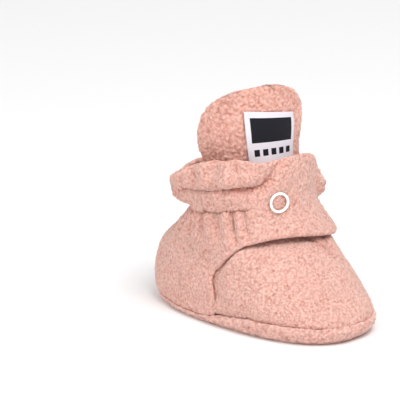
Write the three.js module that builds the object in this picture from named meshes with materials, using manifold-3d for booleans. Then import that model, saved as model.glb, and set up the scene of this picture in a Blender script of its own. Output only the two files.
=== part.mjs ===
// A soft fleece baby bootie: a flat dished sole, a puffed toe panel, two heel quarters gathered by an ankle
// elastic, a tall tongue, and a wrap flap that closes over an underlap with one ring snap.
// Millimetres. +Z is up, the toe points to -Y and the wearer's right is -X.
// The origin is on the ground, under the middle of the sole.

import * as THREE from "three";
import { mergeVertices } from "three/addons/utils/BufferGeometryUtils.js";
import Module from "manifold-3d";

// ---------- driving dimensions ----------
const SOLE_LENGTH = 118;
const SOLE_HALF_WIDTH = 31.5;
const SEAM = { front: 8, back: 4.6 }; // how high the sole panel turns up, at the toe and at the heel
const TONGUE_TOP = 109.5; // on the surface's centre line, which the tongue's tip stands about 4 above
const FLEECE = 2.2;
const LINING = 0.7;
const ELASTIC = 1.0;
const GAP = 0.3;
const SNAP = { angle: -22, height: 55.5, ringOuter: 4.75, ringInner: 3.6, disc: 4.3, pocket: 4.8 };
const SNAP_HOLE = 2.7;
const SNAP_NIPPLE = 1.8;

// Sections through the upper, from the ground up. Each is a superellipse: h is the height of its centre line,
// front and back are the Y of its ends, centre is the Y of its widest place, half its half width,
// tilt how far its back drops, in degrees, and square its exponent.
const TOE = -SOLE_LENGTH / 2;
const HEEL = SOLE_LENGTH / 2;
const STATIONS = [
  { h: 0, front: TOE + 4.5, back: HEEL - 4, centre: -4, half: SOLE_HALF_WIDTH - 3.5, tilt: 0, square: 2.4 },
  { h: 3.5, front: TOE + 1, back: HEEL - 1, centre: -4, half: SOLE_HALF_WIDTH - 0.8, tilt: 0, square: 2.4 },
  { h: 9, front: TOE, back: HEEL, centre: -5, half: SOLE_HALF_WIDTH, tilt: 0, square: 2.45 },
  { h: 16, front: TOE + 7.5, back: HEEL + 0.5, centre: -4, half: 31.4, tilt: 0, square: 2.4 },
  { h: 23, front: TOE + 14.5, back: HEEL - 0.5, centre: -1, half: 31, tilt: 1, square: 2.35 },
  { h: 31, front: TOE + 23, back: HEEL - 2.5, centre: 3, half: 30, tilt: 3, square: 2.25 },
  { h: 38, front: -29, back: HEEL - 6.5, centre: 6, half: 28.8, tilt: 6, square: 2.15 },
  { h: 44, front: -24.5, back: 46.5, centre: 7.5, half: 28.4, tilt: 9, square: 2.05 },
  { h: 50, front: -22, back: 40, centre: 8, half: 28.6, tilt: 11, square: 2 },
  { h: 56, front: -21, back: 37.5, centre: 8, half: 29.2, tilt: 12, square: 2 },
  { h: 62, front: -21, back: 39.5, centre: 8.5, half: 30.5, tilt: 12, square: 2 },
  { h: 68, front: -21, back: 43.5, centre: 10, half: 32, tilt: 12, square: 2 },
  { h: 76, front: -20, back: 46, centre: 11, half: 33, tilt: 12, square: 2 },
  { h: 92, front: -17, back: 48, centre: 13, half: 33, tilt: 12, square: 2 },
  { h: 120, front: -13, back: 50, centre: 15, half: 32, tilt: 12, square: 2 },
];

// ---------- the upper's surface ----------
const rad = THREE.MathUtils.degToRad;
const signed = (angle) => ((angle + 540) % 360) - 180;
const clamp01 = (t) => Math.min(1, Math.max(0, t));
const smooth = (from, to, t) => THREE.MathUtils.smoothstep(t, from, to);
const mix = THREE.MathUtils.lerp;

// A station at any height, by a Catmull-Rom spline through the listed ones.
function stationAt(h) {
  const last = STATIONS.length - 1;
  let i = 0;
  while (i < last - 1 && h > STATIONS[i + 1].h) i += 1;
  const [a, b, c, d] = [Math.max(i - 1, 0), i, i + 1, Math.min(i + 2, last)].map((k) => STATIONS[k]);
  const t = (h - b.h) / (c.h - b.h);
  const made = {};
  for (const key of Object.keys(b)) {
    const slopeIn = (c[key] - a[key]) / (c.h - a.h);
    const slopeOut = (d[key] - b[key]) / (d.h - b.h);
    const span = c.h - b.h;
    made[key] =
      (2 * t ** 3 - 3 * t ** 2 + 1) * b[key] +
      (t ** 3 - 2 * t ** 2 + t) * span * slopeIn +
      (-2 * t ** 3 + 3 * t ** 2) * c[key] +
      (t ** 3 - t ** 2) * span * slopeOut;
  }
  made.h = h;
  return made;
}

// A point of the bare surface at a height and an angle round the foot, which is 0 at the toe,
// 90 at the wearer's left and -90 at the wearer's right.
function barePoint(angle, h) {
  const s = stationAt(h);
  const power = 2 / s.square;
  const c = Math.cos(rad(angle));
  const n = Math.sin(rad(angle));
  const reach = c > 0 ? s.centre - s.front : s.back - s.centre;
  const along = (-Math.sign(c) * Math.abs(c) ** power * reach) / Math.cos(rad(s.tilt));
  return new THREE.Vector3(
    s.half * Math.sign(n) * Math.abs(n) ** power,
    s.centre + along * Math.cos(rad(s.tilt)),
    h - along * Math.sin(rad(s.tilt)),
  );
}

function normalAt(angle, h) {
  const step = 0.4;
  const round = barePoint(angle + step, h).sub(barePoint(angle - step, h));
  const up = barePoint(angle, h + step).sub(barePoint(angle, h - step));
  return round.cross(up).normalize();
}

const surfacePoint = (angle, h, offset) => barePoint(angle, h).addScaledVector(normalAt(angle, h), offset);

// ---------- solid builders ----------
function closedGeometry(points, triangles) {
  const geometry = new THREE.BufferGeometry();
  const coordinates = points.flatMap((p) => [p.x, p.y, p.z]);
  geometry.setAttribute("position", new THREE.Float32BufferAttribute(coordinates, 3));
  let volume = 0;
  for (const [a, b, c] of triangles) volume += points[a].dot(points[b].clone().cross(points[c]));
  geometry.setIndex(triangles.flatMap(([a, b, c]) => (volume < 0 ? [a, c, b] : [a, b, c])));
  geometry.computeVertexNormals();
  return geometry;
}

// A sheet with thickness: at(u, v) gives { angle, h, outer } for u and v from 0 to 1.
function sheet(columns, rows, thickness, at) {
  const faces = [[], []];
  for (let j = 0; j <= rows; j += 1) {
    for (let i = 0; i <= columns; i += 1) {
      const { angle, h, outer } = at(i / columns, j / rows);
      faces[0].push(surfacePoint(angle, h, outer));
      faces[1].push(surfacePoint(angle, h, outer - thickness));
    }
  }
  const wide = columns + 1;
  const inner = faces[0].length;
  const triangles = [];
  for (let j = 0; j < rows; j += 1) {
    for (let i = 0; i < columns; i += 1) {
      const [a, b, c, d] = [j * wide + i, j * wide + i + 1, (j + 1) * wide + i + 1, (j + 1) * wide + i];
      triangles.push([a, b, c], [a, c, d]);
      triangles.push([inner + a, inner + c, inner + b], [inner + a, inner + d, inner + c]);
    }
  }
  const edge = [];
  for (let i = 0; i < columns; i += 1) edge.push(i);
  for (let j = 0; j < rows; j += 1) edge.push(j * wide + columns);
  for (let i = columns; i > 0; i -= 1) edge.push(rows * wide + i);
  for (let j = rows; j > 0; j -= 1) edge.push(j * wide);
  edge.forEach((a, k) => {
    const b = edge[(k + 1) % edge.length];
    triangles.push([a, inner + a, inner + b], [a, inner + b, b]);
  });
  return closedGeometry([...faces[0], ...faces[1]], triangles);
}

// A closed solid from loops of points, each fanned to its own middle at both ends.
function stackedLoops(loops) {
  const count = loops[0].length;
  const points = loops.flat();
  const triangles = [];
  for (let k = 0; k < loops.length - 1; k += 1) {
    for (let i = 0; i < count; i += 1) {
      const j = (i + 1) % count;
      const [a, b, c, d] = [k * count + i, k * count + j, (k + 1) * count + j, (k + 1) * count + i];
      triangles.push([a, b, c], [a, c, d]);
    }
  }
  const middle = (loop) => loop.reduce((sum, p) => sum.add(p), new THREE.Vector3()).divideScalar(count);
  for (const [k, turned] of [[0, true], [loops.length - 1, false]]) {
    points.push(middle(loops[k]));
    for (let i = 0; i < count; i += 1) {
      const [a, b] = [k * count + i, k * count + ((i + 1) % count)];
      triangles.push(turned ? [b, a, points.length - 1] : [a, b, points.length - 1]);
    }
  }
  return closedGeometry(points, triangles);
}

function loopAt(count, place) {
  return Array.from({ length: count }, (_, i) => place((360 * i) / count));
}

// ---------- cutting ----------
const wasm = await Module();
wasm.setup();

function toSolid(geometry) {
  const bare = new THREE.BufferGeometry();
  bare.setAttribute("position", geometry.toNonIndexed().getAttribute("position"));
  const merged = mergeVertices(bare, 1e-4);
  const vertProperties = merged.getAttribute("position").array;
  const triVerts = new Uint32Array(merged.index.array);
  return new wasm.Manifold(new wasm.Mesh({ numProp: 3, vertProperties, triVerts }));
}

function cut(geometry, ...cutters) {
  let solid = toSolid(geometry);
  for (const cutter of cutters) solid = solid.subtract(toSolid(cutter));
  const made = solid.getMesh();
  const result = new THREE.BufferGeometry();
  result.setAttribute("position", new THREE.BufferAttribute(new Float32Array(made.vertProperties), 3));
  result.setIndex(Array.from(made.triVerts));
  result.computeVertexNormals();
  return result;
}

// ---------- sole ----------
const LOOP = 44;
const seamHeight = (angle) => mix(SEAM.front, SEAM.back, smooth(80, 104, Math.abs(signed(angle))));

// A loop of the foot's outline, drawn in by inset. The height is a share of the seam's, or a level z.
function outlineLoop(share, inset, z) {
  return loopAt(LOOP, (angle) => {
    const h = share * seamHeight(angle);
    const p = barePoint(angle, h);
    const n = normalAt(angle, SEAM.front + 1).setZ(0).normalize();
    return p.addScaledVector(n, -inset).setZ(z ?? h);
  });
}

function outsole() {
  const shrunk = (loop, share) => loop.map((p) => new THREE.Vector3(p.x * share, p.y * share, p.z));
  const bottom = outlineLoop(0, 0);
  const floor = outlineLoop(0.3, FLEECE + 1, FLEECE);
  return stackedLoops([
    shrunk(bottom, 0.55),
    bottom,
    outlineLoop(0.16, 0),
    outlineLoop(0.4, 0),
    outlineLoop(0.7, 0),
    outlineLoop(1, 0),
    outlineLoop(1, FLEECE),
    outlineLoop(0.75, FLEECE),
    floor,
    shrunk(floor, 0.55),
  ]);
}

const INSOLE_INSET = 4.5;
const slab = (bottom, thickness) =>
  stackedLoops([outlineLoop(0, INSOLE_INSET, bottom), outlineLoop(0, INSOLE_INSET, bottom + thickness)]);

// ---------- quarters ----------
const HINGE_ANGLE = -62; // the wrap flap folds here
const UNDERLAP_HINGE = 84;
const BACK = 180;
const QUARTER_FOOT = 95; // angle of each quarter's front edge at the sole
const SEAM_ALLOWANCE = 5; // degrees of toe panel under each quarter
const CHANNEL = { low: 53, high: 60 };

// The collar's rim, as pairs of angle and height: highest at the wearer's right, lowest at the wearer's left.
const RIM = [
  [-180, 72.5], [-165, 71], [-150, 69.5], [-135, 70.5], [-120, 73], [-105, 76.3], [-92, 78.6], [-78, 79.6],
  [-62, 79.3], [-46, 78], [-35, 75], [-25, 75.3], [-5, 75.6], [18, 74], [36, 70], [50, 65], [62, 62.5],
  [78, 61.5], [92, 63], [106, 67], [122, 70.5], [150, 72], [180, 72.5],
];
const RIM_EASE = [-6, -3, 0, 3, 6]; // degrees over which the corners between those pairs are rounded

const upperFloor = (angle) => seamHeight(angle) + 3 * GAP;

function rimBetween(angle) {
  const i = RIM.findIndex(([at]) => at >= angle);
  if (i <= 0) return RIM[0][1];
  const [[from, low], [to, high]] = [RIM[i - 1], RIM[i]];
  return mix(low, high, (angle - from) / (to - from));
}

const rimHeight = (angle) =>
  RIM_EASE.reduce((sum, turn) => sum + rimBetween(signed(angle + turn)), 0) / RIM_EASE.length;

// Angle of a quarter's front edge: upright near the sole, then turning forward to meet its flap.
const quarterEdge = (h, top) => mix(QUARTER_FOOT, top, clamp01((h - 18) / 24) ** 2.2);

// The gathered collar stands out a little on the wearer's left, beside the end of the wrap flap.
const PUFF = { from: 51, to: 83, height: 8 };
function collarPuff(angle, h) {
  const across = clamp01((angle - PUFF.from) / (PUFF.to - PUFF.from));
  return PUFF.height * Math.sin(Math.PI * across) ** 2 * smooth(46, 54, h) * (1 - 0.5 * smooth(55, 62, h));
}

function quarter(side, thickness, depth, tuck) {
  const top = (side < 0 ? -HINGE_ANGLE : UNDERLAP_HINGE) + 1;
  return sheet(15, 14, thickness, (u, v) => {
    const h = mix(upperFloor(mix(QUARTER_FOOT, BACK, u)), rimHeight(side * mix(top, BACK, u)), v);
    const front = quarterEdge(h, top) + tuck * (1 - smooth(44, 52, h));
    const angle = side * mix(front, BACK - 0.4, u);
    return { angle, h, outer: collarPuff(angle, h) - depth };
  });
}

const ELASTIC_DEPTH = FLEECE + 2 * GAP;
const QUARTER_LINING_DEPTH = ELASTIC_DEPTH + ELASTIC + 2 * GAP;

function elastic() {
  return sheet(34, 2, ELASTIC, (u, v) => {
    const angle = mix(UNDERLAP_HINGE + 3, 360 + HINGE_ANGLE - 3, u);
    const h = mix(CHANNEL.low, CHANNEL.high, v);
    return { angle, h, outer: collarPuff(angle, h) - ELASTIC_DEPTH };
  });
}

// ---------- toe panel ----------
const LAYER = FLEECE + GAP + LINING;
const UNDER_DEPTH = LAYER + 0.5;
const VAMP_TOP = 46;
const VAMP_DIVE = UNDER_DEPTH + LAYER + 0.7;

// How far the toe panel's face lies from the bare surface. It is tucked under the quarters and
// under the flap, and puffs out between them.
function vampFace(u, h) {
  const edge = Math.min(u, 1 - u) * 2;
  const middle = smooth(0.06, 0.2, edge);
  const dive = smooth(34, 43, h);
  return mix(-(FLEECE + 2 * GAP) * (1 - middle) + 0.8 * middle * smooth(10, 18, h), -VAMP_DIVE, dive);
}

function vamp(thickness, depth) {
  return sheet(22, 10, thickness, (u, v) => {
    const floor = upperFloor((QUARTER_FOOT + SEAM_ALLOWANCE) * mix(-1, 1, u));
    const h = mix(floor, VAMP_TOP, v);
    const near = -quarterEdge(h, -HINGE_ANGLE + 1) - SEAM_ALLOWANCE;
    const far = quarterEdge(h, UNDERLAP_HINGE + 1) + SEAM_ALLOWANCE;
    return { angle: mix(near, far, u), h, outer: vampFace(u, h) - depth };
  });
}

// ---------- flaps ----------
const WRAP_END = 54;
const UNDERLAP_END = -37;
const UNDERLAP_LOW = 44.5;
const WRAP_LOW = 41.2; // its lower edge, where that is highest; it curves down to the quarter and to its corner
const flapLow = (angle) => WRAP_LOW - 2 * clamp01((-28 - angle) / 35) ** 2 - 6 * smooth(-28, 58, angle);
const cornerDrop = (angle) => 2 * smooth(WRAP_END - 12, WRAP_END, angle) ** 2;

// The wrap flap lies on the upper's surface at its hinge, stands off the toe panel along its lower edge,
// flares at its free corner and is lifted at its end by the collar beneath.
function wrapFace(angle, h) {
  const standOff = 1.6 * smooth(-55, 0, angle) * (1 - smooth(39, 52, h)) + 0.2 * smooth(-60, -40, angle);
  const flare = 1.7 * smooth(0, 50, angle) * (1 - smooth(38, 56, h));
  const lift = 1.3 * smooth(38, WRAP_END, angle);
  return standOff + flare + lift;
}

function wrapFlap(thickness, depth, inset) {
  return sheet(20, 8, thickness, (u, v) => {
    const angle = mix(HINGE_ANGLE + inset, WRAP_END - inset, u);
    const h = mix(flapLow(angle) + inset * 0.5, rimHeight(angle) - cornerDrop(angle) - inset * 0.4, v);
    return { angle, h, outer: wrapFace(angle, h) - depth };
  });
}

const underlapRim = (angle) => rimHeight(angle) - 2.5 * (1 - smooth(50, 62, angle));

function underlap(thickness, depth, inset) {
  return sheet(28, 7, thickness, (u, v) => {
    const angle = mix(UNDERLAP_END + inset, UNDERLAP_HINGE - inset, u);
    const h = mix(UNDERLAP_LOW + inset * 0.5, underlapRim(angle) - inset * 0.4, v);
    return { angle, h, outer: collarPuff(angle, h) - UNDER_DEPTH * (1 - smooth(50, 62, angle)) - depth };
  });
}

// ---------- ring snap ----------
// A ring or disc turned about the snap's axis, between two offsets from the bare surface.
function turned(inner, outer, low, high) {
  const profile = [[inner, low], [outer, low], [outer, high], [inner, high], [inner, low]];
  return placedOnSnap(profile);
}

function placedOnSnap(profile) {
  const geometry = new THREE.LatheGeometry(profile.map(([r, y]) => new THREE.Vector2(r, y)), 24);
  const normal = normalAt(SNAP.angle, SNAP.height);
  geometry.applyQuaternion(new THREE.Quaternion().setFromUnitVectors(new THREE.Vector3(0, 1, 0), normal));
  const seat = barePoint(SNAP.angle, SNAP.height);
  return geometry.translate(seat.x, seat.y, seat.z);
}

const pocket = (low, high) => turned(0, SNAP.pocket, low, high);
const ringSeat = turned(SNAP.ringInner - GAP, SNAP.ringOuter + GAP, -0.3, 2);
const socketPocket = pocket(-4, -1.2);
const studPocket = pocket(-5.1, -3);
const postPocket = pocket(-7.6, -5.7);
const STUD = { back: -4.8, face: -3.9, tip: -2.7 };
const stud = placedOnSnap([
  [0, STUD.back],
  [SNAP.disc, STUD.back],
  [SNAP.disc, STUD.face],
  [SNAP_NIPPLE, STUD.face],
  [SNAP_NIPPLE, STUD.tip],
  [0, STUD.tip],
]);

// ---------- tongue ----------
const TONGUE_DEPTH = UNDER_DEPTH + LAYER + 1.5;
const TONGUE_BASE = 47.5;
const TONGUE_TURN = -26; // the tongue faces a little to the wearer's right
const LABEL = { thickness: 0.6, angle: -15, half: 28, low: 67, high: 100, drop: 6 };

function tongueHalfAngle(h) {
  const spread = mix(mix(34, 58, smooth(TONGUE_BASE, 64, h)), 76, smooth(66, 80, h));
  const dome = clamp01((h - 82) / (TONGUE_TOP - 82));
  return mix(14, spread, (1 - dome ** 2.8) ** 0.6);
}

const tongueFace = (h) => 2.5 * smooth(76, 92, h) - TONGUE_DEPTH;

function tongue(thickness, depth, inset) {
  return sheet(16, 13, thickness, (u, v) => {
    const h = mix(TONGUE_TOP - inset, TONGUE_BASE, (1 - v) ** 1.8);
    const half = tongueHalfAngle(h) - inset * 1.5;
    const centre = mix(0, TONGUE_TURN, smooth(45, 65, h));
    return { angle: centre + mix(-half, half, u), h, outer: tongueFace(h) - depth };
  });
}

function label() {
  return sheet(8, 6, LABEL.thickness, (u, v) => {
    const h = mix(LABEL.low, LABEL.high - LABEL.drop * u, v);
    const angle = LABEL.angle + LABEL.half * mix(-1, 1, u);
    return { angle, h, outer: tongueFace(h) + GAP + LABEL.thickness };
  });
}

// ---------- assembly ----------
const bootie = new THREE.Group();
const FINISHES = {
  fleece: { color: 0xebb8ab, roughness: 1, metalness: 0 },
  teddy: { color: 0xe9b2a4, roughness: 1, metalness: 0 },
  lining: { color: 0xe9c3b8, roughness: 0.95, metalness: 0 },
  foam: { color: 0xf3ece2, roughness: 0.95, metalness: 0 },
  elastic: { color: 0xf2efe9, roughness: 0.9, metalness: 0 },
  label: { color: 0xe4dfe6, roughness: 0.8, metalness: 0 },
  snap: { color: 0xfbf6f2, roughness: 0.35, metalness: 0 },
};

function add(name, finish, geometry) {
  const mesh = new THREE.Mesh(geometry, new THREE.MeshStandardMaterial(FINISHES[finish]));
  mesh.name = name;
  bootie.add(mesh);
}

add("outsole", "teddy", outsole());
add("insole_pad", "foam", slab(FLEECE + GAP, 2));
add("insole_lining", "lining", slab(FLEECE + 2 + 2 * GAP, LINING));
add("vamp", "fleece", vamp(FLEECE, 0));
add("vamp_lining", "lining", vamp(LINING, FLEECE + GAP));
for (const [side, name] of [[-1, "right_quarter"], [1, "left_quarter"]]) {
  add(name, "fleece", quarter(side, FLEECE, 0, 0));
  add(`${name}_lining`, "lining", quarter(side, LINING, QUARTER_LINING_DEPTH, SEAM_ALLOWANCE + 3));
}
add("ankle_elastic", "elastic", elastic());
add("wrap_flap", "fleece", cut(wrapFlap(FLEECE, 0, 0), ringSeat, socketPocket));
add("wrap_flap_lining", "lining", cut(wrapFlap(LINING, FLEECE + GAP, 1), socketPocket));
add("snap_cap_ring", "snap", turned(SNAP.ringInner, SNAP.ringOuter, 0, 0.9));
add("snap_socket", "snap", turned(SNAP_HOLE, SNAP.disc, -3, -1.6));
add("underlap_flap", "fleece", cut(underlap(FLEECE, 0, 0), studPocket, postPocket));
add("underlap_flap_lining", "lining", cut(underlap(LINING, FLEECE + GAP, 1), postPocket));
add("snap_stud", "snap", stud);
add("snap_post_ring", "snap", turned(SNAP_HOLE, SNAP.disc, -6.9, -6));
add("tongue", "teddy", tongue(FLEECE, 0, 0));
add("tongue_lining", "lining", tongue(LINING, FLEECE + GAP, 1));
add("woven_label", "label", label());

export default bootie;
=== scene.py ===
"""A soft fleece baby bootie, dressed over its CAD frame: sewn pile panels, a gathered collar,
a wrap flap with a ring snap, a curly pile tongue with a woven label, and a curly pile sole.

The panels are grown on the same surface as the CAD solids, in millimetres, and become metres as meshes.
A place on the upper is an angle round the foot in degrees, a height, and an offset from the surface."""

import math

import bpy
import numpy as np
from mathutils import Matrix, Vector, kdtree


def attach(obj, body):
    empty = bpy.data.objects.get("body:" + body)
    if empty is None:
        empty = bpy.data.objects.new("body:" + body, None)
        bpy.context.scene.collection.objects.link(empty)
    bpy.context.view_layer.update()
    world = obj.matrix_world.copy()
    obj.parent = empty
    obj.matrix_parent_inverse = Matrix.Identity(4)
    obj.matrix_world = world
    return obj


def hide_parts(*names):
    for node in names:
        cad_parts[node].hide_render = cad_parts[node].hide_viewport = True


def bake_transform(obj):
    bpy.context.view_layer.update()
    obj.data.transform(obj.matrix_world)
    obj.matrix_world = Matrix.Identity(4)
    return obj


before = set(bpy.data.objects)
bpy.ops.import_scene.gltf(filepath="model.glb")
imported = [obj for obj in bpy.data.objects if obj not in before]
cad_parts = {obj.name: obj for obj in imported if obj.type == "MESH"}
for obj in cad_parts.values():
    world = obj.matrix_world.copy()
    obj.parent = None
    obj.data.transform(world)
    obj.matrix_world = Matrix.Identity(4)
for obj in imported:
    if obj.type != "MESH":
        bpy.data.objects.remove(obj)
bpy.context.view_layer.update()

MM = 0.001
STEP = 0.5  # spacing of the fleece panels' vertices, in millimetres
LINING_STEP = 1.3 * STEP


# ---------------------------------------------------------------- the surface of the upper
SOLE_LENGTH = 118
TOE, HEEL = -SOLE_LENGTH / 2, SOLE_LENGTH / 2
SOLE_HALF_WIDTH = 31.5
SEAM_FRONT, SEAM_BACK = 8.4, 3.4  # heights of the seam between the sole and the upper
TONGUE_TOP = 109.5
FLEECE, LINING, ELASTIC, GAP = 2.2, 0.7, 1.0, 0.3  # the layers' thicknesses, and the air between them
LAYER = FLEECE + GAP + LINING
UNDER_DEPTH = LAYER + 0.5  # how far the underlap lies behind the wrap flap
TONGUE_DEPTH = UNDER_DEPTH + LAYER + 1.5

# height, front, back, widest place, half width, tilt of the back in degrees, superellipse exponent
STATIONS = np.array([
    (0, TOE + 4.5, HEEL - 4, -4, SOLE_HALF_WIDTH - 3.5, 0, 2.4),
    (3.5, TOE + 1, HEEL - 1, -4, SOLE_HALF_WIDTH - 0.8, 0, 2.4),
    (9, TOE, HEEL, -5, SOLE_HALF_WIDTH, 0, 2.45),
    (16, TOE + 7.5, HEEL + 0.5, -4, 31.4, 0, 2.4),
    (23, TOE + 14.5, HEEL - 0.5, -1, 31, 1, 2.35),
    (31, TOE + 23, HEEL - 2.5, 3, 30, 3, 2.25),
    (38, -29, HEEL - 6.5, 6, 28.8, 6, 2.15),
    (44, -24.5, 46.5, 7.5, 28.4, 9, 2.05),
    (50, -22, 40, 8, 28.6, 11, 2),
    (56, -21, 37.5, 8, 29.2, 12, 2),
    (62, -21, 39.5, 8.5, 30.5, 12, 2),
    (68, -21, 43.5, 10, 32, 12, 2),
    (76, -20, 46, 11, 33, 12, 2),
    (92, -17, 48, 13, 33, 12, 2),
    (120, -13, 50, 15, 32, 12, 2),
], float)


def mix(a, b, t):
    """From a to b as t goes from 0 to 1."""
    return a + (b - a) * t


def smooth(low, high, t):
    """An eased step from 0 at low to 1 at high."""
    x = np.clip((t - low) / (high - low), 0, 1)
    return x * x * (3 - 2 * x)


def stations_at(h):
    """The sections at these heights, by a spline through the listed ones."""
    heights = STATIONS[:, 0]
    last = len(STATIONS) - 1
    i = np.clip(np.searchsorted(heights, h, side="right") - 1, 0, last - 1)
    a, b, c, d = (STATIONS[np.clip(i + k, 0, last)] for k in (-1, 0, 1, 2))
    span = (c[..., :1] - b[..., :1])
    slope_in = (c - a) / (c[..., :1] - a[..., :1])
    slope_out = (d - b) / (d[..., :1] - b[..., :1])
    t = ((h - b[..., 0]) / span[..., 0])[..., None]
    return (
        (2 * t**3 - 3 * t**2 + 1) * b
        + (t**3 - 2 * t**2 + t) * span * slope_in
        + (-2 * t**3 + 3 * t**2) * c
        + (t**3 - t**2) * span * slope_out
    )


def bare(angle, h):
    """The surface at an angle round the foot, 0 at the toe and -90 at the wearer's right, and a height."""
    angle, h = np.broadcast_arrays(np.asarray(angle, float), np.asarray(h, float))
    _, front, back, centre, half, tilt, square = np.moveaxis(stations_at(h), -1, 0)
    cos, sin = np.cos(np.radians(angle)), np.sin(np.radians(angle))
    reach = np.where(cos > 0, centre - front, back - centre)
    along = -np.sign(cos) * np.abs(cos) ** (2 / square) * reach
    x = half * np.sign(sin) * np.abs(sin) ** (2 / square)
    return np.stack([x, centre + along, h - along * np.tan(np.radians(tilt))], -1)


def unit(v):
    return v / np.maximum(np.linalg.norm(v, axis=-1, keepdims=True), 1e-9)


def outward(angle, h):
    """The surface's outward normal."""
    step = 0.4
    around = bare(angle + step, h) - bare(angle - step, h)
    up = bare(angle, h + step) - bare(angle, h - step)
    return unit(np.cross(around, up))


def place(angle, h, offset):
    """A point that far outside the surface."""
    return bare(angle, h) + outward(angle, h) * np.asarray(offset)[..., None]


# ---------------------------------------------------------------- noise
def scramble(ix, iy, iz, seed):
    """A fixed pseudo-random number from 0 to 1 for each lattice point."""
    n = (ix * 374761393 + iy * 668265263 + iz * 2147483647 + seed * 1274126177) & 0xFFFFFFFF
    n = ((n ^ (n >> 13)) * 1274126177) & 0xFFFFFFFF
    n = ((n ^ (n >> 16)) * 2246822519) & 0xFFFFFFFF
    return ((n ^ (n >> 15)) & 0xFFFFFF) / 0xFFFFFF


def cloud(p, size, seed):
    """Smooth noise from 0 to 1 with features of that size."""
    q = p / size
    base = np.floor(q).astype(np.int64)
    f = q - base
    f = f * f * (3 - 2 * f)
    total = 0
    for dx in (0, 1):
        for dy in (0, 1):
            for dz in (0, 1):
                corner = scramble(base[:, 0] + dx, base[:, 1] + dy, base[:, 2] + dz, seed)
                weight = np.ones(len(p))
                for k, d in enumerate((dx, dy, dz)):
                    weight = weight * (f[:, k] if d else 1 - f[:, k])
                total = total + corner * weight
    return total


def tufts(p, size, seed):
    """1 at the middle of each tuft of pile and 0 in the gaps between them."""
    q = p / size
    base = np.floor(q).astype(np.int64)
    nearest = np.full(len(p), 9.0)
    for dx in (-1, 0, 1):
        for dy in (-1, 0, 1):
            for dz in (-1, 0, 1):
                cell = [base[:, 0] + dx, base[:, 1] + dy, base[:, 2] + dz]
                away = 0
                for k in range(3):
                    away = away + (cell[k] + scramble(*cell, seed + k) - q[:, k]) ** 2
                nearest = np.minimum(nearest, away)
    return 1 - np.sqrt(np.clip(nearest, 0, 1))


def pile_of(p, size, seed):
    """The height of curly pile, 0 to 1: rounded tufts, bent out of their rows, with finer curls on them."""
    warp = np.stack([cloud(p, size * 0.9, seed + k) for k in (11, 12, 13)], -1) - 0.5
    coarse = tufts(p + warp * size * 0.9, size, seed)
    fine = cloud(p, size * 0.4, seed + 21)
    return np.clip(0.95 * coarse + 0.4 * fine - 0.1, 0, 1)


# ---------------------------------------------------------------- meshes
def grid_faces(rows, columns):
    """The quads of a grid of points that is stored row by row."""
    j, i = np.meshgrid(np.arange(rows - 1), np.arange(columns - 1), indexing="ij")
    a = (j * columns + i).ravel()
    return np.stack([a, a + 1, a + columns + 1, a + columns], -1)


def vertex_normals(points, faces):
    """Area-weighted normals of a mesh of quads."""
    a, b, c, d = (points[faces[:, k]] for k in range(4))
    face = np.cross(c - a, d - b)
    total = np.zeros_like(points)
    for k in range(4):
        np.add.at(total, faces[:, k], face)
    return unit(total)


def border_edges(faces):
    """The edges that only one face uses, in that face's direction."""
    edges = np.concatenate([faces[:, [k, (k + 1) % 4]] for k in range(4)])
    key = np.sort(edges, 1)
    _, index, count = np.unique(key, axis=0, return_index=True, return_counts=True)
    return edges[index[count == 1]]


def edge_distance(points, border):
    """How far each point is from the nearest border point."""
    tree = kdtree.KDTree(len(border))
    for n, p in enumerate(points[border]):
        tree.insert(p, n)
    tree.balance()
    return np.array([tree.find(p)[2] for p in points])


def paint(piece, name, values):
    """Stores one number per point, for the piece's material."""
    layer = piece.data.attributes.new(name, "FLOAT", "POINT")
    layer.data.foreach_set("value", np.asarray(values, np.float32))


def mesh_object(name, points, faces):
    """A piece from points in millimetres."""
    mesh = bpy.data.meshes.new(name)
    faces = faces.tolist() if isinstance(faces, np.ndarray) else faces
    mesh.from_pydata((points * MM).tolist(), [], faces)
    mesh.polygons.foreach_set("use_smooth", [True] * len(mesh.polygons))
    mesh.update()
    piece = bpy.data.objects.new(name, mesh)
    bpy.context.scene.collection.objects.link(piece)
    return piece


# how far the crease and seam mask darkens the pile's colour, as painted shade
CREASE_SHADE_PAINTED = 0.55


def shell(name, mid, faces, thickness, pile, seed, roll=1.0, inner_pile=0.35, lift=None, dents=None):
    """A closed fabric panel round a middle surface, with rolled edges and pile on both faces.

    pile is the size and height of its tufts, and inner_pile the share of that height on the inner face.
    roll is how far its rounded edge reaches in, in thicknesses, and lift is extra thickness by point.
    Where dents, the crease and seam mask from 0 to 1, is high, its colour is darkened with painted shade."""
    size, height = pile
    normals = vertex_normals(mid, faces)
    rim = border_edges(faces)
    reach = edge_distance(mid, np.unique(rim)) / (thickness * roll / 2)
    swell = np.sqrt(1 - (1 - np.clip(reach, 0.02, 1)) ** 2)
    half = (thickness / 2) * swell[:, None]
    if lift is not None:
        half = half + lift[:, None] * swell[:, None] / 2
    count = len(mid)
    points = np.concatenate([mid + normals * half, mid - normals * half])
    back = faces[:, ::-1] + count
    sides = np.stack([rim[:, 1], rim[:, 0], rim[:, 0] + count, rim[:, 1] + count], -1)
    faces = np.concatenate([faces, back, sides])
    tuft = pile_of(points, size, seed)
    share = np.concatenate([np.ones(count), np.full(count, inner_pile)])
    points = points + vertex_normals(points, faces) * ((tuft - 0.5) * height * share)[:, None]
    if dents is not None:
        # painted shade: creases and seams take the darker colour of the gaps between tufts
        tuft = tuft - CREASE_SHADE_PAINTED * np.tile(dents, 2)
    piece = mesh_object(name, points, faces)
    paint(piece, "pile", tuft)
    return piece


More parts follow.
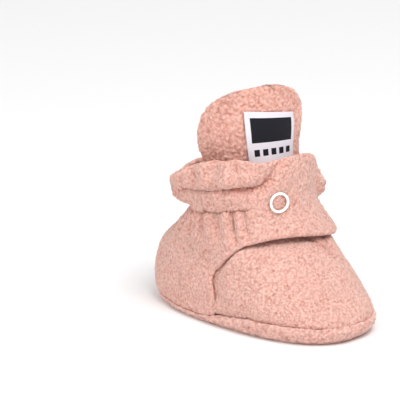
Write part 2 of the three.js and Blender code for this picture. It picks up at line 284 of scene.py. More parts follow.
# ---------------------------------------------------------------- materials
class Nodes:
    """A short way to build a material's node tree."""

    def __init__(self, name):
        self.material = bpy.data.materials.new(name)
        self.material.use_nodes = True
        self.tree = self.material.node_tree
        self.tree.nodes.clear()
        self.shader = self.add("ShaderNodeBsdfPrincipled")
        self.link(self.shader.outputs[0], self.add("ShaderNodeOutputMaterial").inputs[0])

    def add(self, kind, **settings):
        node = self.tree.nodes.new(kind)
        for key, value in settings.items():
            setattr(node, key, value)
        return node

    def link(self, source, target):
        self.tree.links.new(source, target)

    def put(self, node, **values):
        """Sets inputs by name, with _ for each space."""
        for key, value in values.items():
            node.inputs[key.replace("_", " ")].default_value = value
        return node

    def attribute(self, name):
        return self.add("ShaderNodeAttribute", attribute_name=name).outputs["Fac"]

    def ramp(self, source, stops):
        """Colours a value by (position, colour) stops."""
        node = self.add("ShaderNodeValToRGB")
        while len(node.color_ramp.elements) < len(stops):
            node.color_ramp.elements.new(1)
        for element, (at, colour) in zip(node.color_ramp.elements, stops):
            element.position = at
            element.color = (*colour, 1)
        self.link(source, node.inputs[0])
        return node.outputs[0]

    def blend(self, a, b, factor, kind="MIX"):
        """Mixes two colours. Each argument is a number, a colour or a socket."""
        node = self.add("ShaderNodeMix", data_type="RGBA", blend_type=kind)
        for source, socket in ((factor, 0), (a, 6), (b, 7)):
            if isinstance(source, (int, float)):
                node.inputs[socket].default_value = source
            elif isinstance(source, tuple):
                node.inputs[socket].default_value = (*source, 1)
            else:
                self.link(source, node.inputs[socket])
        return node.outputs[2]

    def noise(self, scale, detail=3.0, kind="ShaderNodeTexNoise"):
        """A texture over the object's own coordinates."""
        node = self.add(kind)
        self.put(node, Scale=scale)
        if "Detail" in node.inputs:
            self.put(node, Detail=detail)
        self.link(self.object_coordinates(), node.inputs["Vector"])
        return node

    def object_coordinates(self):
        return self.add("ShaderNodeTexCoord").outputs["Object"]

    def bump(self, height, distance, strength=1.0, below=None):
        node = self.add("ShaderNodeBump")
        self.put(node, Distance=distance, Strength=strength)
        self.link(height, node.inputs["Height"])
        if below is not None:
            self.link(below, node.inputs["Normal"])
        return node.outputs[0]


FUZZ_DEPTH = 0.0009
WARM_SCATTER = (1.0, 0.4, 0.3)
PALE_PINK = (1.0, 0.88, 0.84)


def fabric(name, deep, middle, tip, hairs):
    """Brushed pile, coloured by the pile's height: painted shade between the tufts and painted light at their
    tips, with fine hairs and a soft sheen.
    hairs is the scale of the fine fibres."""
    n = Nodes(name)
    # painted shade in the gaps between tufts, painted light on their tips
    base = n.ramp(n.attribute("pile"), [(0.05, deep), (0.4, middle), (0.9, tip)])
    patches = n.noise(60, 2)
    tone = n.ramp(patches.outputs["Fac"], [(0.3, (0.94, 0.925, 0.92)), (0.7, (1.0, 1.0, 1.0))])
    base = n.blend(base, tone, 1.0, "MULTIPLY")
    hair = n.noise(hairs, 4)
    fleck = n.ramp(hair.outputs["Fac"], [(0.36, (0.72, 0.64, 0.62)), (0.6, (1.0, 1.0, 1.0))])
    base = n.blend(base, fleck, 0.85, "MULTIPLY")
    n.link(base, n.shader.inputs["Base Color"])
    strands = n.noise(hairs * 0.6, 3, "ShaderNodeTexVoronoi")
    rough = n.bump(hair.outputs["Fac"], FUZZ_DEPTH, 0.8)
    n.link(n.bump(strands.outputs["Distance"], FUZZ_DEPTH, 0.5, rough), n.shader.inputs["Normal"])
    n.put(n.shader, Roughness=0.95, Specular_IOR_Level=0.15)
    n.put(n.shader, Sheen_Weight=0.18, Sheen_Roughness=0.5, Sheen_Tint=(*PALE_PINK, 1))
    n.put(n.shader, Subsurface_Weight=0.35, Subsurface_Scale=0.0025, Subsurface_Radius=WARM_SCATTER)
    return n.material


def knit(name, colour, thread=1400):
    """A plain knit: fine crossing ribs, whose scale is thread."""
    n = Nodes(name)
    across = n.add("ShaderNodeTexWave", wave_type="BANDS", bands_direction="Z")
    along = n.add("ShaderNodeTexWave", wave_type="BANDS", bands_direction="DIAGONAL")
    for wave in (across, along):
        n.put(wave, Scale=thread, Distortion=1.5, Detail=1.0)
        n.link(n.object_coordinates(), wave.inputs["Vector"])
    weave = n.blend(across.outputs["Color"], along.outputs["Color"], 0.5, "MULTIPLY")
    darker = tuple(0.86 * channel for channel in colour)
    n.link(n.blend(darker, colour, weave), n.shader.inputs["Base Color"])
    n.link(n.bump(weave, 0.0002, 0.7), n.shader.inputs["Normal"])
    n.put(n.shader, Roughness=0.9, Sheen_Weight=0.3)
    return n.material


# each fabric's colours: painted shade in the gaps between tufts, the middle tone, and painted light on the
# tufts' tips
PINK_GAP_SHADE, PINK, PINK_LIT_TIP = (0.58, 0.26, 0.205), (0.735, 0.43, 0.365), (0.815, 0.53, 0.46)
FLEECE_LOOK = fabric("fleece", PINK_GAP_SHADE, PINK, PINK_LIT_TIP, 850)
TEDDY_LOOK = fabric("teddy", (0.52, 0.22, 0.165), (0.71, 0.385, 0.315), (0.79, 0.475, 0.405), 620)
# the sole's curly pile: its own slightly less red tone, and lighter than the tongue's as painted light on its
# down-facing band
SOLE_LOOK_PAINTED_LIGHTER = fabric("sole_pile", (0.56, 0.265, 0.215), (0.755, 0.445, 0.385), (0.83, 0.55, 0.485), 620)
LINING_LOOK = knit("lining", (0.88, 0.60, 0.525))
THREAD_LOOK = knit("thread", (0.80, 0.50, 0.43), 2500)
ELASTIC_LOOK = knit("elastic", (0.80, 0.77, 0.72), 700)

# the size and height of the tufts
FLEECE_PILE = (1.35, 0.6)
TEDDY_PILE = (2.0, 1.1)
KNIT_PILE = (1.2, 0.12)


def dress(piece, look, slot, *nodes):
    """Gives a piece its material and hides the CAD nodes that it stands for."""
    piece.data.materials.append(look)
    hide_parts(*nodes)
    return piece


# ---------------------------------------------------------------- outlines of the panels
BACK = 180.1  # the quarters' centre seam at the heel, where their edges press together
QUARTER_FOOT = 95  # where a quarter's front edge meets the sole
RIGHT_TOP, LEFT_TOP = 63, 85  # where a quarter's front edge meets its flap
FLAP_HEIGHT = 32
RIM = np.array([  # angle and height of the collar's edge
    (-180, 72.5), (-165, 71), (-150, 69.5), (-135, 70.5), (-120, 73), (-105, 76.3), (-92, 78.6), (-78, 79.6),
    (-62, 79.3), (-46, 78), (-35, 75), (-25, 75.3), (-5, 75.6), (18, 74), (36, 70), (50, 65), (62, 62.5),
    (78, 61.5), (92, 63), (106, 67), (122, 70.5), (150, 72), (180, 72.5),
])
WRAP_HINGE, UNDERLAP_HINGE = -62, 84
WRAP_END, UNDERLAP_END = 54, -37
WRAP_LOW, UNDERLAP_LOW = 41.2, 44.5
CHANNEL_LOW, CHANNEL_HIGH = 54, 65


def seam_height(angle):
    """Height of the seam between the sole and the upper."""
    return mix(SEAM_FRONT, SEAM_BACK, smooth(80, 104, np.abs(angle)))


def rim_height(angle):
    """The collar's edge, by straight runs eased over a few degrees."""
    spread = (-6, -3, 0, 3, 6)
    return sum(np.interp(angle + turn, RIM[:, 0], RIM[:, 1]) for turn in spread) / len(spread)


def quarter_edge(h, top, join):
    """The quarter's front edge: an angle that curves from its foot to its top at the height join."""
    return mix(QUARTER_FOOT, top, np.clip((h - 18) / (join - 18), 0, 1) ** 2.9)


def collar_puff(angle, h):
    """The far side of the collar, which stands out beyond the wrap flap."""
    across = np.clip((angle - 51) / 32, 0, 1)
    return 8.0 * np.sin(np.pi * across) ** 2 * smooth(46, 54, h) * (1 - 0.5 * smooth(55, 62, h))


MM_PER_DEGREE = 0.5


def wander(angle, h, size, seed):
    """Slow noise over the unrolled upper, from -1 to 1."""
    flat = np.stack([angle * MM_PER_DEGREE, h, np.zeros_like(h)], -1).reshape(-1, 3)
    return cloud(flat, size, seed).reshape(h.shape) * 2 - 1


def gathers(angle, h, reach):
    """Puckers that the ankle elastic makes: fine over its channel, wide in the ruffle above, fading below."""
    phase = np.radians(angle * 24) + 2.2 * wander(angle, h * 0.3, 9, 3)
    slow = np.radians(angle * 17) + 2.6 * wander(angle, h * 0.2, 14, 5)
    below = smooth(34, 50, h) * (1 - smooth(CHANNEL_LOW - 1, CHANNEL_LOW + 1, h))
    above = smooth(CHANNEL_HIGH, CHANNEL_HIGH + 5, h)
    inside = smooth(CHANNEL_LOW, CHANNEL_LOW + 2, h) * (1 - smooth(CHANNEL_HIGH - 2, CHANNEL_HIGH, h))
    pucker = 1.6 * below * np.cos(phase) + 0.3 * inside * np.cos(phase * 1.7)
    ruffle = above * (1.35 * np.cos(slow) + 0.4 * np.cos(phase))
    stitches = 0.75 + 0.25 * np.cos(np.radians(angle * 110))
    heel = smooth(112, 138, np.abs(angle))
    low_seam = np.exp(-(((h - CHANNEL_LOW) / 1.0) ** 2))
    high_seam = np.exp(-(((h - CHANNEL_HIGH) / 1.2) ** 2)) * (1 - heel)
    lines = -stitches * (1.5 * low_seam + 1.9 * high_seam)
    swell = np.sin(np.pi * np.clip((h - 56) / 15.5, 0, 1))
    lobe = heel * (5.2 * swell - 1.6 * smooth(46, 54, h) * (1 - smooth(56, 60, h)))
    calm_seam = 1 - smooth(164, 178, np.abs(angle))
    soft = (pucker + ruffle + 0.35 * inside) * calm_seam
    return reach * (soft + lines + lobe + above * (1 - heel))


def fold(angle, h, path, width, depth):
    """A soft dent along a path of (angle, height) points, which fades at both of its ends."""
    nearest = np.full(np.shape(h), 1e9)
    level = np.zeros(np.shape(h))
    px, py = angle * MM_PER_DEGREE, h
    runs = len(path) - 1
    for k in range(runs):
        ax, ay = path[k][0] * MM_PER_DEGREE, path[k][1]
        bx, by = path[k + 1][0] * MM_PER_DEGREE, path[k + 1][1]
        length = (bx - ax) ** 2 + (by - ay) ** 2
        t = np.clip(((px - ax) * (bx - ax) + (py - ay) * (by - ay)) / length, 0, 1)
        away = (px - ax - t * (bx - ax)) ** 2 + (py - ay - t * (by - ay)) ** 2
        level = np.where(away < nearest, (k + t) / runs, level)
        nearest = np.minimum(nearest, away)
    fade = 0.35 + 0.65 * np.sin(np.pi * np.clip(level, 0.05, 0.95))
    return -depth * np.exp(-nearest / width**2) * fade


def folds(angle, h, creases):
    """Several dents together, each a path, a width and a depth. A negative depth is a bulge."""
    return sum(fold(angle, h, path, width, depth) for path, width, depth in creases)


# ---------------------------------------------------------------- upper
SNAP_ANGLE, SNAP_HEIGHT = -22, 55.5
SNAP_AT = bare(SNAP_ANGLE, SNAP_HEIGHT)
SNAP_AXIS = outward(SNAP_ANGLE, SNAP_HEIGHT)


def upper_panel(name, side, top, lap_end, lap_low, lap_high, offset, thickness, inset, spacing, seed, pile):
    """A heel quarter and the flap that carries on from it, as one piece of cloth.

    side is -1 for the wearer's right. top is where the quarter's front edge meets the flap, and lap_end is the
    flap's free end. lap_low and lap_high are the flap's edges by angle. A lining is inset from its fleece."""
    join = float(lap_low(np.float64(side * top)))
    lower_rows = round((join - 6) / spacing)
    upper_rows = round(FLAP_HEIGHT / spacing)
    columns = round(108 / spacing)
    rows = lower_rows + upper_rows + 1
    u = np.linspace(0, 1, columns)[None, :]
    around = side * mix(top, BACK, u)
    foot = seam_height(side * mix(QUARTER_FOOT, BACK, u)) + 0.1 + inset
    low = mix(foot, join, np.linspace(0, 1, lower_rows + 1)[:-1, None])
    rim = rim_height(around) - inset * 2.2
    high = mix(join + 0 * rim, rim, np.linspace(0, 1, upper_rows + 1)[:, None])
    h = np.concatenate([low, high])
    front = quarter_edge(h, top, join) + inset * 2 * (1 - smooth(44, 52, h))
    angle = side * mix(front, BACK, u)
    quarter = place(angle, h, offset(angle, h)).reshape(-1, 3)
    quarter_painted_shade = painted_crease_shade(angle, h, side).ravel()

    lap_columns = round(abs(lap_end - side * top) * MM_PER_DEGREE / spacing)
    s = np.linspace(0, 1, lap_columns)[None, 1:]
    across = mix(side * top, lap_end + side * inset * 2, s)
    hem = lap_low(across) + inset * 0.6 * s
    crest = lap_high(across) - inset * (2.2 - 1.4 * s)
    lap_h = mix(hem, crest, np.linspace(0, 1, upper_rows + 1)[:, None])
    across = np.broadcast_to(across, lap_h.shape)
    lap = place(across, lap_h, offset(across, lap_h)).reshape(-1, 3)
    # painted shade for the seams and creases of the quarter and its flap
    dents = np.concatenate([quarter_painted_shade, painted_crease_shade(across, lap_h, side).ravel()])

    lap_faces = grid_faces(upper_rows + 1, lap_columns)
    row, column = np.divmod(lap_faces, lap_columns)
    shared = (lower_rows + row) * columns
    own = len(quarter) + row * (lap_columns - 1) + column - 1
    lap_faces = np.where(column == 0, shared, own)[:, ::-1]
    faces = np.concatenate([grid_faces(rows, columns), lap_faces])
    if side < 0:
        faces = faces[:, ::-1]
    points = np.concatenate([quarter, lap])
    return shell(name, points, faces, thickness, pile, seed, dents=dents)


def wrap_low(angle):
    """The wrap flap's lower edge."""
    return WRAP_LOW - 2 * np.clip((-28 - angle) / 35, 0, 1) ** 2 - 6 * smooth(-28, 58, angle)


def wrap_high(angle):
    """The wrap flap's upper edge, with its corner rounded off."""
    return rim_height(angle) - 2 * smooth(WRAP_END - 12, WRAP_END, angle) ** 2


CORNER_FOLD = [(-70, 64.5), (-56, 63.6), (-44, 63.3), (-35, 64.2), (-28, 67.5), (-20, 73)]
WRAP_CREASES = [
    (CORNER_FOLD, 2.2, 3.4),
    ([(-46, 74), (-38, 70), (-31, 72)], 3.2, 1.2),
    ([(-6, 60), (6, 66), (14, 75)], 3.4, 0.9),
    ([(-48, 50), (-30, 46), (-10, 45)], 4.0, 0.7),
    ([(-104, 20), (-92, 33), (-80, 47)], 3.0, 1.3),
    ([(-112, 38), (-104, 46), (-100, 53)], 2.6, 1.4),
    ([(-76, 38), (-70, 46), (-66, 53)], 2.2, 1.0),
    ([(-62, 70.5), (-46, 69.5), (-34, 72)], 3.0, -2.2),
]


def painted_crease_shade(angle, h, side):
    """Painted shade for the sewn and pinched places, the corner crease and the sole seam, from 0 to 1."""
    ends = smooth(-60, -42, angle) if side < 0 else 1 - smooth(56, 66, angle)
    sewn = np.exp(-(((h - CHANNEL_LOW) / 1.3) ** 2)) + np.exp(-(((h - CHANNEL_HIGH) / 1.5) ** 2))
    corner = -fold(angle, h, CORNER_FOLD, 1.9, 1.0) if side < 0 else 0
    foot = np.exp(-(((h - seam_height(angle)) / 1.5) ** 2))
    return np.clip(0.6 * sewn * (1 - ends) + 0.45 * foot + corner, 0, 1)


def wrap_offset(angle, h):
    """Middle of the right panel's fleece."""
    stand_off = 1.6 * smooth(-55, 0, angle) * (1 - smooth(39, 52, h)) + 0.2 * smooth(-60, -40, angle)
    flare = 1.7 * smooth(0, 50, angle) * (1 - smooth(38, 56, h)) + 1.3 * smooth(38, WRAP_END, angle)
    creases = folds(angle, h, WRAP_CREASES)
    calm = 0.8 * wander(angle, h, 11, 8)
    at = place(angle, h, np.zeros_like(h)) - SNAP_AT
    from_snap = np.linalg.norm(at - (at @ SNAP_AXIS)[..., None] * SNAP_AXIS, axis=-1)
    seat = -0.45 * np.exp(-(((from_snap - 4.2) / 1.6) ** 2)) + 0.35 * np.exp(-((from_snap / 2.2) ** 2))
    seat = np.where(np.cos(np.radians(angle - SNAP_ANGLE)) > 0, seat, 0)
    elastic = 1 - smooth(-58, -36, angle)
    return -FLEECE / 2 + stand_off + flare + creases + calm + seat + gathers(angle, h, elastic)


def underlap_low(angle):
    """The underlap's lower edge."""
    return UNDERLAP_LOW + 0 * angle


def underlap_high(angle):
    """The underlap's upper edge, which drops out of sight behind the wrap flap."""
    return rim_height(angle) - 2.5 * (1 - smooth(50, 62, angle))


def underlap_offset(angle, h):
    """Middle of the left panel's fleece."""
    tucked = UNDER_DEPTH * (1 - smooth(50, 62, angle))
    elastic = smooth(56, 66, angle)
    return -FLEECE / 2 - tucked + collar_puff(angle, h) + gathers(angle, h, elastic)


def lining_of(offset, hinge_angle):
    """Middle of the lining: close behind the fleece on the flap, and behind the elastic on the quarter,
    where it is also gathered less."""
    close = FLEECE / 2 + GAP + LINING / 2 + 0.15
    spread = (-9, -4, 0, 4, 9)

    def middle(angle, h):
        beyond = smooth(abs(hinge_angle) - 5, abs(hinge_angle) + 4, angle * np.sign(hinge_angle))
        eased = sum(offset(angle + turn, h) for turn in spread) / len(spread)
        return mix(offset(angle, h), eased, beyond) - close - (ELASTIC + 3 * GAP) * beyond

    return middle


def blend_over(piece):
    """Bakes the piece's placement into its points."""
    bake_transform(piece)


def right_panels():
    """The right quarter and the wrap flap, and their lining."""
    shared = dict(side=-1, top=RIGHT_TOP, lap_end=WRAP_END, lap_low=wrap_low, lap_high=wrap_high)
    outer = upper_panel("right_panel", offset=wrap_offset, thickness=FLEECE, inset=0, spacing=STEP,
                        seed=31, pile=FLEECE_PILE, **shared)
    dress(outer, FLEECE_LOOK, "fleece", "right_quarter", "wrap_flap")
    behind = lining_of(wrap_offset, WRAP_HINGE)
    inner = upper_panel("right_panel_lining", offset=behind, thickness=LINING, inset=1, spacing=LINING_STEP,
                        seed=32, pile=KNIT_PILE, **shared)
    dress(inner, LINING_LOOK, "lining", "right_quarter_lining", "wrap_flap_lining")
    for piece in (outer, inner):
        blend_over(piece)


def left_panels():
    """The left quarter and the underlap, and their lining."""
    shared = dict(side=1, top=LEFT_TOP, lap_end=UNDERLAP_END, lap_low=underlap_low, lap_high=underlap_high)
    outer = upper_panel("left_panel", offset=underlap_offset, thickness=FLEECE, inset=0, spacing=STEP,
                        seed=33, pile=FLEECE_PILE, **shared)
    dress(outer, FLEECE_LOOK, "fleece", "left_quarter", "underlap_flap")
    behind = lining_of(underlap_offset, UNDERLAP_HINGE)
    inner = upper_panel("left_panel_lining", offset=behind, thickness=LINING, inset=1, spacing=LINING_STEP,
                        seed=34, pile=KNIT_PILE, **shared)
    dress(inner, LINING_LOOK, "lining", "left_quarter_lining", "underlap_flap_lining")
    for piece in (outer, inner):
        blend_over(piece)


STITCH, STITCH_TURN, THREAD = 1.9, 2.9 / 0.52, 0.24  # its length, the angle to the next, and its radius
STITCH_SIDES = 6
UPPER_ROW_END = 118  # the upper row sinks under the ruffle behind this


def stitches(name, side, front, offset):
    """Two rows of thread that hold the elastic's channel, sunk in the dents that they pull."""
    sections = np.array([-1, -0.8, 0, 0.8, 1]) * STITCH / 2
    swell = np.array([0.2, 0.8, 1.0, 0.8, 0.2]) * THREAD
    turn = np.linspace(0, 2 * np.pi, STITCH_SIDES, endpoint=False)
    points, faces = [], []
    for level in (CHANNEL_LOW, CHANNEL_HIGH):
        for angle in np.arange(front, BACK - 3, STITCH_TURN):
            at = float(side * angle)
            if level == CHANNEL_HIGH and (angle > UPPER_ROW_END or rim_height(at) < level + 3):
                continue
            seat = offset(np.float64(at), np.float64(level)) + FLEECE / 2 + 0.15
            middle = place(at, level, seat)
            along = unit(bare(at + 1, level) - bare(at - 1, level))
            out = outward(at, level)
            over = np.cross(along, out)
            first = sum(len(p) for p in points)
            ring = np.cos(turn)[:, None] * out + np.sin(turn)[:, None] * over
            points.append(np.concatenate([middle + along * x + ring * r for x, r in zip(sections, swell)]))
            for k in range(len(sections) - 1):
                for i in range(STITCH_SIDES):
                    j = (i + 1) % STITCH_SIDES
                    a, b = first + k * STITCH_SIDES, first + (k + 1) * STITCH_SIDES
                    faces.append([a + i, b + i, b + j, a + j])
            last = first + (len(sections) - 1) * STITCH_SIDES
            faces.append([first + i for i in range(STITCH_SIDES)])
            faces.append([last + i for i in reversed(range(STITCH_SIDES))])
    piece = mesh_object(name, np.concatenate(points), faces)
    piece.data.materials.append(THREAD_LOOK)
    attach(piece, "bootie_body")


def elastic_band():
    """The ribbed elastic sewn in round the ankle, from flap to flap. It narrows under the low far rim."""
    spacing = 0.7
    columns, rows = round(110 / spacing), round(11 / spacing)
    around = np.linspace(UNDERLAP_HINGE + 3, 360 + WRAP_HINGE - 3, columns)[None, :]
    angle = np.broadcast_to((around + 180) % 360 - 180, (rows, columns))
    top = np.minimum(CHANNEL_HIGH - 1.6, rim_height(angle) - 4)
    h = mix(CHANNEL_LOW - 0.8, top, np.linspace(0, 1, rows)[:, None])
    ribs = 0.12 * np.cos(np.radians(around * 130))
    depth = FLEECE + 2 * GAP + ELASTIC / 2
    left = smooth(0, 2, angle) * underlap_offset(angle, h)
    right = (1 - smooth(0, 2, angle)) * wrap_offset(angle, h)
    middle = 0.85 * (left + right + FLEECE / 2) + ribs - depth
    points = place(angle, h, middle).reshape(-1, 3)
    piece = shell("elastic_band", points, grid_faces(rows, columns), ELASTIC, (0.9, 0.1), 91)
    dress(piece, ELASTIC_LOOK, "elastic", "ankle_elastic")
    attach(piece, "bootie_body")


# ---------------------------------------------------------------- toe panel
VAMP_TOP, VAMP_TUCK = 46, 5  # its top, and how many degrees it runs in behind the quarters
VAMP_CREASES = [
    ([(2, 43), (10, 37), (16, 33)], 2.4, 1.6),
    ([(30, 41), (22, 36), (16, 33)], 2.0, 1.2),
]


def vamp_face(u, h):
    """Offset of its face: full in the middle, tucked in at its sides, diving under the flaps at its top."""
    edge = np.minimum(u, 1 - u) * 2
    middle = smooth(0.05, 0.13, edge)
    dive = smooth(35, 43, h)
    tucked = -2.8 * mix(0.4, 1, smooth(8, 16, h))
    puff = tucked * (1 - middle) + 0.8 * middle * smooth(9, 17, h)
    return mix(puff, -(UNDER_DEPTH + LAYER + 0.7), dive)


def vamp_panel(name, depth, thickness, inset, spacing, pile, seed):
    """A layer of the toe panel, whose middle is that deep under its face."""
    rows, columns = round(52 / spacing), round(150 / spacing)
    u = np.linspace(0, 1, columns)[None, :]
    v = np.linspace(0, 1, rows)[:, None]
    reach = QUARTER_FOOT + VAMP_TUCK
    h = mix(seam_height(reach * mix(-1, 1, u)) + 0.1 + inset, VAMP_TOP - inset, v)
    near = -quarter_edge(h, RIGHT_TOP, float(wrap_low(-RIGHT_TOP))) - VAMP_TUCK + inset
    far = quarter_edge(h, LEFT_TOP, UNDERLAP_LOW) + VAMP_TUCK - inset
    angle = mix(near, far, u)
    lift = vamp_face(u, h)
    foot = np.exp(-(((h - seam_height(angle)) / 2.0) ** 2))
    seam = -foot * (1.2 + 0.3 * np.cos(np.radians(angle * 58)))
    calm = 0.5 * wander(angle, h, 15, 17)
    tuck = folds(angle, h, VAMP_CREASES)
    points = place(angle, h, lift + seam + calm + tuck - depth).reshape(-1, 3)
    # painted shade along the sole seam and in the tucks, darkening the pile's colour
    dents = np.clip(0.6 * foot - 0.35 * tuck, 0, 1).ravel()
    return shell(name, points, grid_faces(rows, columns), thickness, pile, seed, dents=dents)


def vamp():
    """The toe panel and its lining."""
    outer = vamp_panel("toe_panel", FLEECE / 2, FLEECE, 0, STEP, FLEECE_PILE, 41)
    dress(outer, FLEECE_LOOK, "fleece", "vamp")
    inner = vamp_panel("toe_panel_lining", LAYER - LINING / 2 + 0.1, LINING, 0.5, LINING_STEP, KNIT_PILE, 42)
    dress(inner, LINING_LOOK, "lining", "vamp_lining")
    for piece in (outer, inner):
        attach(piece, "bootie_body")


# ---------------------------------------------------------------- sole
def outline(share, inset, columns, z=None):
    """A loop round the sole, at that share of the seam's height unless z is given, moved in by inset."""
    angle = np.linspace(-180, 180, columns, endpoint=False)
    h = share * seam_height(angle)
    points = bare(angle, h)
    flat = outward(angle, np.full(columns, 9.0)) * [1, 1, 0]
    points = points - unit(flat) * inset
    points[:, 2] = h if z is None else z
    return points


def rings_to_mesh(rings):
    """Stacked loops of points, closed by a fan at each end."""
    count = len(rings[0])
    points = [*rings, rings[0].mean(0)[None], rings[-1].mean(0)[None]]
    points = np.concatenate(points)
    i = np.arange(count)
    j = (i + 1) % count
    faces = []
    for k in range(len(rings) - 1):
        a, b = k * count, (k + 1) * count
        faces += np.stack([a + i, a + j, b + j, b + i], -1).tolist()
    low, high = len(points) - 2, len(points) - 1
    last = (len(rings) - 1) * count
    faces += [[low, q, p] for p, q in zip(i.tolist(), j.tolist())]
    faces += [[high, last + p, last + q] for p, q in zip(i.tolist(), j.tolist())]
    return points, faces


def mesh_normals(points, faces):
    """Normals of a mesh of mixed polygons."""
    mesh = bpy.data.meshes.new("scratch")
    mesh.from_pydata(points.tolist(), [], faces)
    normals = np.zeros(len(points) * 3)
    mesh.vertices.foreach_get("normal", normals)
    bpy.data.meshes.remove(mesh)
    return normals.reshape(-1, 3)


def outsole():
    """A cup of curly pile: a flat bottom, a bulged side, a turned-in edge at the seam and a floor inside."""
    spacing = STEP * 1.15
    columns = round(300 / spacing)
    bottom = outline(0, 0, columns)
    rings = [bottom * [s, s, 1] for s in np.linspace(0.04, 1, round(27 / spacing))]
    rise = np.linspace(0, 1, round(11 / spacing))[1:]
    rings += [outline(s, -0.5 * math.sin(math.pi * s), columns) for s in rise]
    rings += [outline(1, w, columns) + [0, 0, 0.25] for w in (0.5, 1.2, FLEECE)]
    rings += [outline(0.75, FLEECE, columns)]
    floor = outline(0.3, FLEECE + 1, columns, FLEECE)
    rings += [floor * [s, s, 1] for s in (1, 0.6, 0.2)]
    points, faces = rings_to_mesh(rings)
    tuft = pile_of(points, TEDDY_PILE[0], 51)
    seen = (np.arange(len(points)) < len(rings[0]) * (len(rings) - 4)).astype(float)
    seen[-2] = 1
    height = TEDDY_PILE[1] * seen * mix(0.4, 1, smooth(0, 3, points[:, 2]))
    points = points + mesh_normals(points, faces) * ((tuft - 0.5) * height)[:, None]
    points[:, 2] = np.maximum(points[:, 2], 0)
    piece = mesh_object("outsole_pile", points, faces)
    paint(piece, "pile", tuft)
    dress(piece, SOLE_LOOK_PAINTED_LIGHTER, "teddy", "outsole")
    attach(piece, "bootie_body")


SIM_FRAMES = 20


def positions(piece):
    """The piece's points, in metres."""
    flat = np.zeros(len(piece.data.vertices) * 3)
    piece.data.vertices.foreach_get("co", flat)
    return flat.reshape(-1, 3)


def inflate(piece, voxel, pressure, cap):
    """Swells a closed piece like a stuffed pad, in metres. No point moves further than cap, or down."""
    remesh = piece.modifiers.new("even", "REMESH")
    remesh.mode = "VOXEL"
    remesh.voxel_size = voxel
    bake(piece)
    rest = positions(piece)
    cloth = piece.modifiers.new("stuffing", "CLOTH")
    cloth.settings.use_pressure = True
    cloth.settings.uniform_pressure_force = pressure
    cloth.settings.effector_weights.gravity = 0
    cloth.point_cache.frame_start, cloth.point_cache.frame_end = 1, SIM_FRAMES
    for number in range(1, SIM_FRAMES + 1):
        bpy.context.scene.frame_set(number)
    bake(piece)
    bpy.context.scene.frame_set(1)
    step = positions(piece) - rest
    length = np.linalg.norm(step, axis=1, keepdims=True)
    step = step * np.minimum(1, cap / np.maximum(length, 1e-9))
    step[:, 2] = np.maximum(step[:, 2], 0)
    piece.data.vertices.foreach_set("co", (rest + step).ravel())


def bake(piece):
    """Applies the piece's modifiers."""
    seen_by_blender = piece.evaluated_get(bpy.context.evaluated_depsgraph_get())
    shaped = bpy.data.meshes.new_from_object(seen_by_blender)
    piece.modifiers.clear()
    piece.data = shaped


INSOLE_TUFT = 1.6


def insole():
    """A padded footbed that crowns between its edges."""
    columns = 200
    bottom, top = 2.6, 5.0
    edge = outline(0, 4.4, columns)
    rings = [edge * [s, s, 0] + [0, 0, bottom] for s in (0.3, 0.7, 0.95)]
    rings += [edge * [1, 1, 0] + [0, 0, z] for z in (bottom + 0.6, top - 1)]
    for s in (0.985, 0.95, 0.9, 0.8, 0.68, 0.55, 0.4, 0.25, 0.1):
        rings.append(edge * [s, s, 0] + [0, 0, top - 0.6 + 0.7 * (1 - s**6)])
    points, faces = rings_to_mesh(rings)
    tuft = pile_of(points, INSOLE_TUFT, 61)
    points = points + mesh_normals(points, faces) * ((tuft - 0.6) * 0.35)[:, None]
    piece = mesh_object("insole_padded", points, faces)
    inflate(piece, 0.0012, 4, 0.0015)
    subdivide = piece.modifiers.new("smooth", "SUBSURF")
    subdivide.levels = subdivide.render_levels = 1
    bake(piece)
    paint(piece, "pile", pile_of(positions(piece) / MM, INSOLE_TUFT, 61))
    dress(piece, FLEECE_LOOK, "fleece", "insole_pad", "insole_lining")
    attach(piece, "bootie_body")


# ---------------------------------------------------------------- tongue and label
TONGUE_BASE, TONGUE_TURN = 47.5, -26
LABEL_ANGLE, LABEL_HALF, LABEL_LOW, LABEL_HIGH, LABEL_DROP = -15, 28, 67, 100, 6


def tongue_half(h):
    """Half its width in degrees: narrow at its root, wide above the collar, domed at its top."""
    spread = mix(mix(34, 58, smooth(TONGUE_BASE, 64, h)), 76, smooth(66, 80, h))
    dome = np.clip((h - 82) / (TONGUE_TOP - 82), 0, 1)
    return mix(14, spread, (1 - dome**2.8) ** 0.6)


def tongue_face(h):
    """Offset of its face, which leans forward above the collar."""
    return 2.5 * smooth(76, 92, h) - TONGUE_DEPTH


def tongue_panel(name, depth, thickness, inset, spacing, pile, seed, plump):
    """A layer of the tongue, whose middle is that deep under its face. plump is extra thickness at its top."""
    rows, columns = round(64 / spacing), round(68 / spacing)
    u = np.linspace(-1, 1, columns)[None, :]
    h = mix(TONGUE_TOP - inset, TONGUE_BASE, (1 - np.linspace(0, 1, rows)[:, None]) ** 1.3)
    half = tongue_half(h) - inset * 1.5
    centre = mix(0, TONGUE_TURN, smooth(45, 65, h)) - 6 * smooth(92, 106, h)
    left_side = 9 * smooth(62, 72, h) * (1 - smooth(86, 100, h))
    angle = centre + (half + np.where(u > 0, left_side, 0)) * u
    h = np.broadcast_to(h, angle.shape)
    wave = 0.6 * wander(angle, h, 16, 23) * smooth(70, 85, h)
    points = place(angle, h, tongue_face(h) + wave - depth).reshape(-1, 3)
    lift = plump * smooth(72, 84, h).reshape(-1)
    faces = grid_faces(rows, columns)
    return shell(name, points, faces, thickness, pile, seed, roll=1.4, inner_pile=0.6, lift=lift)


